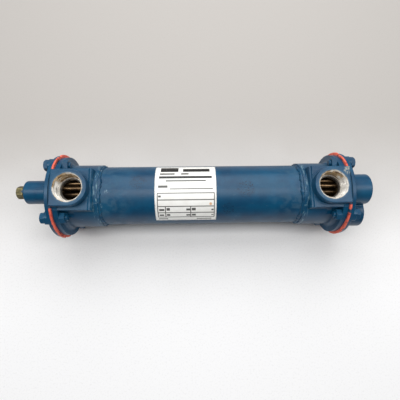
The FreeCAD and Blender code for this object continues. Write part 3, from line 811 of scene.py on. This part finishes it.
def thread_lining(name, mount, pitch, depth):
    """Ring in a hole: inner radius is the hole's less a ridge that climbs one pitch a turn."""
    radius = mount["dims"]["r_mm"] * MM - LINING
    length = mount["dims"]["length_mm"] * MM
    steps = int(length / pitch * 10)
    angle = np.linspace(0, 2 * np.pi, THREAD_TURNS, endpoint=False)[:, None]
    run = np.linspace(0, 1, steps)[None, :]
    # The difference of the two shares, folded into a ridge with a narrow flat top and foot.
    phase = run * length / pitch - angle / (2 * np.pi)
    ridge = 1 - np.abs(2 * (phase % 1.0) - 1)
    ridge = np.clip(1.25 * ridge - 0.1, 0, 1)
    # The ridge fades at both ends, and the hole narrows a little towards its foot.
    fade = np.clip((1 - run) * 6, 0, 1) * np.clip(run * 8 + 0.25, 0, 1)
    taper = 0.35 * MM * (1 - run)
    inner = radius - 0.02 * MM - taper - depth * ridge * fade
    along = (run - 0.5) * length + 0 * angle
    back = np.concatenate([along[:, -1:], along[:, :1]], axis=1)
    along = np.concatenate([along, back], axis=1)
    reach = np.concatenate([inner, radius + 0 * back], axis=1)
    flat = np.stack([reach * np.cos(angle), reach * np.sin(angle), along], axis=-1)
    turn = Vector((0, 0, 1)).rotation_difference(Vector(mount["axis"])).to_matrix()
    points = flat @ np.array(turn).T + np.array(mount["pos_m"])
    return make_piece(name, points, ring_faces(*points.shape[:2]), thread_metal)


def thread_material():
    """Bare metal: tool marks, a browned side towards the back, and dark smears."""
    material, tree, shader = new_material("bare_thread")
    place = object_place(tree)
    shade = noise(tree, stretched(tree, place, (70.0, 70.0, 260.0)), 1.0, 4.0, 0.6)
    at_back = band(tree, split(tree, place)["Y"], 3 * MM, 13 * MM)
    brown = times(tree, at_back, band(tree, shade, 0.3, 0.5))
    metal = use_group(tree, bare_metal, {"Tarnish": calc(tree, "MULTIPLY_ADD", brown, 0.85, 0.2)})
    smear = times(tree, band(tree, shade, 0.56, 0.64), 0.7)
    fill(tree, shader, {"Base Color": blend(tree, smear, metal["Color"], SMEAR_BROWN),
                        "Roughness": metal["Roughness"], "Metallic": 0.35,
                        "Normal": relief(tree, metal["Height"], 0.3, 0.2 * MM)})
    return material


thread_metal = thread_material()
for side in SIDES:
    thread_lining("port_thread_" + side, mounts["shell_port_" + side], PORT_PITCH, 1.1 * MM)
for nozzle in ("upper", "front"):
    thread_lining("nozzle_thread_" + nozzle, mounts["tube_port_" + nozzle], NOZZLE_PITCH, 0.9 * MM)

# %% [markdown]
# ## The label
# A white label is wrapped over the top of the shell.  It is generic: it has the layout of a
# form, which is heading bars and ruled boxes, and has no letters at all.  The label is a thin
# bent sheet, worked out from length along the shell and distance round it.  The same two
# numbers are its UV map, on which the bars and the ruling are drawn.

# %% Bend the label's sheet
LABEL_ROWS = 64
LABEL_COLUMNS = 48


def bent_sheet():
    """Closed thin sheet: along x and round the shell by angle, out by the label's thickness."""
    low, high = box("nameplate")
    thick = high[2] - AXIS_Z - SHELL_RADIUS
    outer = SHELL_RADIUS + thick
    front = math.asin(-low[1] / outer)
    back = math.asin(high[1] / outer)
    if low[2] < AXIS_Z:
        front = math.pi - front
    across = np.linspace(0, 1, LABEL_ROWS)[:, None]
    along = np.linspace(0, 1, LABEL_COLUMNS)[None, :]
    angle = -back + (front + back) * across + 0 * along
    x = low[0] + (high[0] - low[0]) * along + 0 * across
    top = about_shell(x, angle, outer - 0.02 * MM + 0 * x)
    under = about_shell(x, angle, SHELL_RADIUS + 0.03 * MM + 0 * x)
    uv = np.stack([along + 0 * across, 1 - across + 0 * along], axis=-1)
    return top, under, uv


def sheet_faces(rows, columns):
    """Quads of the top, of the underside turned over, and of the strip round the edge."""
    row, column = np.meshgrid(np.arange(rows - 1), np.arange(columns - 1), indexing="ij")
    here = (row * columns + column).ravel()
    top = np.stack([here, here + columns, here + columns + 1, here + 1], axis=-1)
    count = rows * columns
    edge = np.concatenate([np.arange(columns - 1), np.arange(rows - 1) * columns + columns - 1,
                           (rows - 1) * columns + np.arange(columns - 1, 0, -1),
                           np.arange(rows - 1, 0, -1) * columns])
    after = np.roll(edge, -1)
    strip = np.stack([edge, after, after + count, edge + count], axis=-1)
    return np.concatenate([top, top[:, ::-1] + count, strip])


# %% [markdown]
# The form is drawn from a few lists of shares of the label: u runs along the shell and v from
# the label's lower edge, at the front, to its upper one.  A line is a narrow band about one
# value, a bar is a span in u and a span in v, and the largest of all these masks is the ink.

# %% Draw the form
RULE_WIDTH = 0.0105
BOX_LEFT, BOX_RIGHT, BOX_LOW, BOX_HIGH = 0.045, 0.965, 0.085, 0.472
LOWER_ROWS = 0.277  # the rows below this are split into three columns
ROW_RULES = [(BOX_LEFT, BOX_RIGHT, v) for v in (BOX_HIGH, 0.375, LOWER_ROWS, 0.172, BOX_LOW)]
ROW_RULES += [(0.25, 0.94, 0.533)]  # each has a start and a stop in u, and its v
COLUMN_RULES = [(BOX_LOW, BOX_HIGH, BOX_LEFT), (BOX_LOW, BOX_HIGH, BOX_RIGHT),
                (BOX_LOW, LOWER_ROWS, 0.17), (BOX_LOW, LOWER_ROWS, 0.58)]  # v, v, and its u
HEADING_BARS = [(0.09, 0.38, 0.835, 0.955), (0.46, 0.90, 0.835, 0.915), (0.07, 0.93, 0.700, 0.740)]
SMALL_BARS = [(0.08, 0.32, 0.772, 0.80), (0.43, 0.55, 0.772, 0.80), (0.18, 0.83, 0.648, 0.668),
              (0.06, 0.21, 0.553, 0.585), (0.06, 0.10, 0.415, 0.438), (0.07, 0.15, 0.205, 0.235),
              (0.07, 0.14, 0.112, 0.138), (0.19, 0.24, 0.21, 0.25), (0.19, 0.24, 0.112, 0.145),
              (0.51, 0.57, 0.21, 0.24), (0.51, 0.57, 0.112, 0.138), (0.60, 0.66, 0.21, 0.25),
              (0.60, 0.66, 0.112, 0.145), (0.92, 0.95, 0.21, 0.23), (0.92, 0.95, 0.118, 0.132),
              (0.05, 0.20, 0.035, 0.052), (0.68, 0.92, 0.035, 0.052)]  # from u to u, from v to v


def span(tree, value, start, stop, soft=0.004):
    """1 between start and stop."""
    return times(tree, band(tree, value, start - soft, start), band(tree, value, stop + soft, stop))


def most(tree, masks):
    """The largest of several masks."""
    total = masks[0]
    for mask in masks[1:]:
        total = calc(tree, "MAXIMUM", total, mask)
    return total


def ruling(tree, along, across, lines):
    """A mask for each line, which runs from a start to a stop at one place across."""
    masks = []
    for start, stop, where in lines:
        off = calc(tree, "ABSOLUTE", calc(tree, "SUBTRACT", across, where))
        line = band(tree, off, RULE_WIDTH, RULE_WIDTH * 0.4)
        masks.append(times(tree, line, span(tree, along, start, stop)))
    return masks


def bars(tree, u, v, places):
    """1 on any of several plain bars."""
    return most(tree, [times(tree, span(tree, u, left, right), span(tree, v, low, high))
                       for left, right, low, high in places])


# %% The label's material
FILM_WHITE = srgb(250, 250, 246)
FILM_YELLOWED = srgb(240, 239, 234)
INK_GREY = srgb(46, 46, 44)
INK_BLACK = srgb(6, 7, 9)
SPOT_ORANGE = srgb(214, 150, 84)
SPOT_PLACE = (0.905, 0.312, 0.0)
GRIME_GREY = srgb(128, 140, 148)


def label_material():
    """White film with grey ruling and bars, black heading bars, an orange spot and grimy edges."""
    material, tree, shader = new_material("label_film")
    uv = tree.nodes.new("ShaderNodeTexCoord").outputs["UV"]
    place = object_place(tree)
    u, v, _ = split(tree, uv)
    worn = band(tree, noise(tree, place, 900.0, 3.0, 0.6), 0.2, 0.32)
    small = times(tree, bars(tree, u, v, SMALL_BARS), worn)
    ink = most(tree, ruling(tree, u, v, ROW_RULES) + ruling(tree, v, u, COLUMN_RULES) + [small])
    yellowed = band(tree, noise(tree, place, 60.0, 4.0, 0.6), 0.35, 0.75)
    color = blend(tree, yellowed, FILM_WHITE, FILM_YELLOWED)
    color = blend(tree, times(tree, ink, 0.92), color, INK_GREY)
    color = blend(tree, times(tree, bars(tree, u, v, HEADING_BARS), worn), color, INK_BLACK)
    spot = band(tree, vector_calc(tree, "DISTANCE", uv, SPOT_PLACE), 0.03, 0.012)
    color = blend(tree, times(tree, spot, 0.8), color, SPOT_ORANGE)
    edge = most(tree, [band(tree, v, 0.03, 0.0), band(tree, u, 0.02, 0.0), band(tree, u, 0.98, 1.0)])
    grime = times(tree, edge, band(tree, noise(tree, place, 320.0, 4.0, 0.6), 0.4, 0.62))
    color = blend(tree, times(tree, grime, 0.5), color, GRIME_GREY)
    skin = noise(tree, place, 210.0, 3.0, 0.5)
    fill(tree, shader, {"Base Color": color, "Roughness": calc(tree, "MULTIPLY_ADD", grime, 0.3, 0.32),
                        "Normal": relief(tree, skin, 0.15, 0.2 * MM)})
    return material


# %% Wrap the label


def wrap_label():
    """The bent sheet as a piece, with its UV map."""
    top, under, uv = bent_sheet()
    points = np.concatenate([top.reshape(-1, 3), under.reshape(-1, 3)])
    faces = sheet_faces(*top.shape[:2])
    piece = make_piece("label", points, faces, label_material())
    mesh = piece.data
    flat = np.concatenate([uv.reshape(-1, 2), uv.reshape(-1, 2)])
    corners_of = np.empty(len(mesh.loops), dtype=np.int32)
    mesh.loops.foreach_get("vertex_index", corners_of)
    layer = mesh.uv_layers.new(name="label_map")
    layer.data.foreach_set("uv", flat[corners_of].ravel())
    return piece


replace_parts(wrap_label(), "nameplate")

# %% [markdown]
# ## Floor, light and camera
# The exchanger lies on a plain pale floor, greyer towards the back: painted shade for the
# light falling off.  There are two soft lights.  A long narrow strip overhead draws a line of
# light along the crown of every piece, right out to the ends.  A wide panel behind adds a broad
# highlight on the shell and lets the shadow fall softly to the front.  A pale sky fills the rest.

# %% Floor
FLOOR_SIZE = 3.0
FLOOR_BACK_SHADED = srgb(180, 176, 172)
FLOOR_FRONT_LIT = srgb(240, 240, 241)
FLOOR_GRAIN = srgb(150, 148, 146)


def make_floor():
    """A square of pale matte floor under the exchanger, with a slight grain and painted shade towards the
    back.
    """
    material, tree, shader = new_material("pale_floor")
    place = object_place(tree)
    # Greyer towards the back: painted shade for the light falling off across the floor.
    nearer = times(tree, split(tree, place)["Y"], -1.0)
    cloud = calc(tree, "MULTIPLY_ADD", noise(tree, place, 9.0, 3.0), 0.06, nearer)
    color = blend(tree, band(tree, cloud, -0.12, 0.2), FLOOR_BACK_SHADED, FLOOR_FRONT_LIT)
    grain = times(tree, band(tree, noise(tree, place, 420.0, 4.0, 0.65), 0.5, 0.7), 0.12)
    fill(tree, shader, {"Base Color": blend(tree, grain, color, FLOOR_GRAIN), "Roughness": 0.7})
    half = FLOOR_SIZE / 2
    mesh = bpy.data.meshes.new("floor")
    mesh.from_pydata([(-half, -half, 0), (half, -half, 0), (half, half, 0), (-half, half, 0)], [],
                     [(0, 1, 2, 3)])
    mesh.materials.append(material)
    floor = bpy.data.objects.new("floor", mesh)
    bpy.context.scene.collection.objects.link(floor)


make_floor()
print("floor", FLOOR_SIZE, "wide")

# %% Light
LIT_POINT = (0.0, 0.0, 0.08)
LAMP_WHITE = (1.0, 0.995, 0.985)
SKY_BLUE = (0.92, 0.95, 1.0, 1.0)
SKY_STRENGTH = 0.12


def soft_panel(name, place, size, watts):
    """A rectangular area light that faces the exchanger."""
    data = bpy.data.lights.new(name, "AREA")
    data.shape = "RECTANGLE"
    data.size, data.size_y = size
    data.energy = watts
    data.color = LAMP_WHITE
    lamp = bpy.data.objects.new(name, data)
    lamp.location = place
    lamp.rotation_euler = (Vector(LIT_POINT) - Vector(place)).to_track_quat("-Z", "Y").to_euler()
    bpy.context.scene.collection.objects.link(lamp)


soft_panel("overhead_strip", (0.0, 0.0, 1.45), (3.2, 0.5), 24.0)
soft_panel("back_panel", (0.05, 0.85, 0.93), (1.3, 1.12), 13.0)
world = bpy.data.worlds.new("pale_sky")
world.use_nodes = True
fill(world.node_tree, world.node_tree.nodes["Background"], {"Color": SKY_BLUE, "Strength": SKY_STRENGTH})
bpy.context.scene.world = world
bpy.context.scene.view_settings.view_transform = "Standard"
print("two soft panels and a pale sky")

# %% [markdown]
# The camera looks almost straight down, turned a little so that the front flank shows, from
# under half a metre, which is why the ends splay outwards.

# %% Camera
AZIMUTH = math.radians(6.98)
ELEVATION = math.radians(79.63)
ROLL = math.radians(6.18)
DISTANCE = 0.4224
TARGET = Vector((0.0075, -0.0071, AXIS_Z))
FOCAL_SHARE = 0.7857  # focal length over the picture's width
SENSOR = 36.0


def aim_camera():
    """Place the camera back along its view, then turn it about that view by the roll."""
    forward = Vector((math.sin(AZIMUTH) * math.cos(ELEVATION), math.cos(AZIMUTH) * math.cos(ELEVATION),
                      -math.sin(ELEVATION)))
    level = Vector((math.cos(AZIMUTH), -math.sin(AZIMUTH), 0))
    above = level.cross(forward)
    right = math.cos(ROLL) * level + math.sin(ROLL) * above
    up = math.cos(ROLL) * above - math.sin(ROLL) * level
    data = bpy.data.cameras.new("camera")
    data.sensor_width = SENSOR
    data.lens = FOCAL_SHARE * SENSOR
    data.clip_start = 0.01
    camera = bpy.data.objects.new("camera", data)
    turn = Matrix((right, up, -forward)).transposed().to_4x4()
    camera.matrix_world = Matrix.Translation(TARGET - DISTANCE * forward) @ turn
    bpy.context.scene.collection.objects.link(camera)
    bpy.context.scene.camera = camera


aim_camera()
print("camera", DISTANCE, "from its aim")
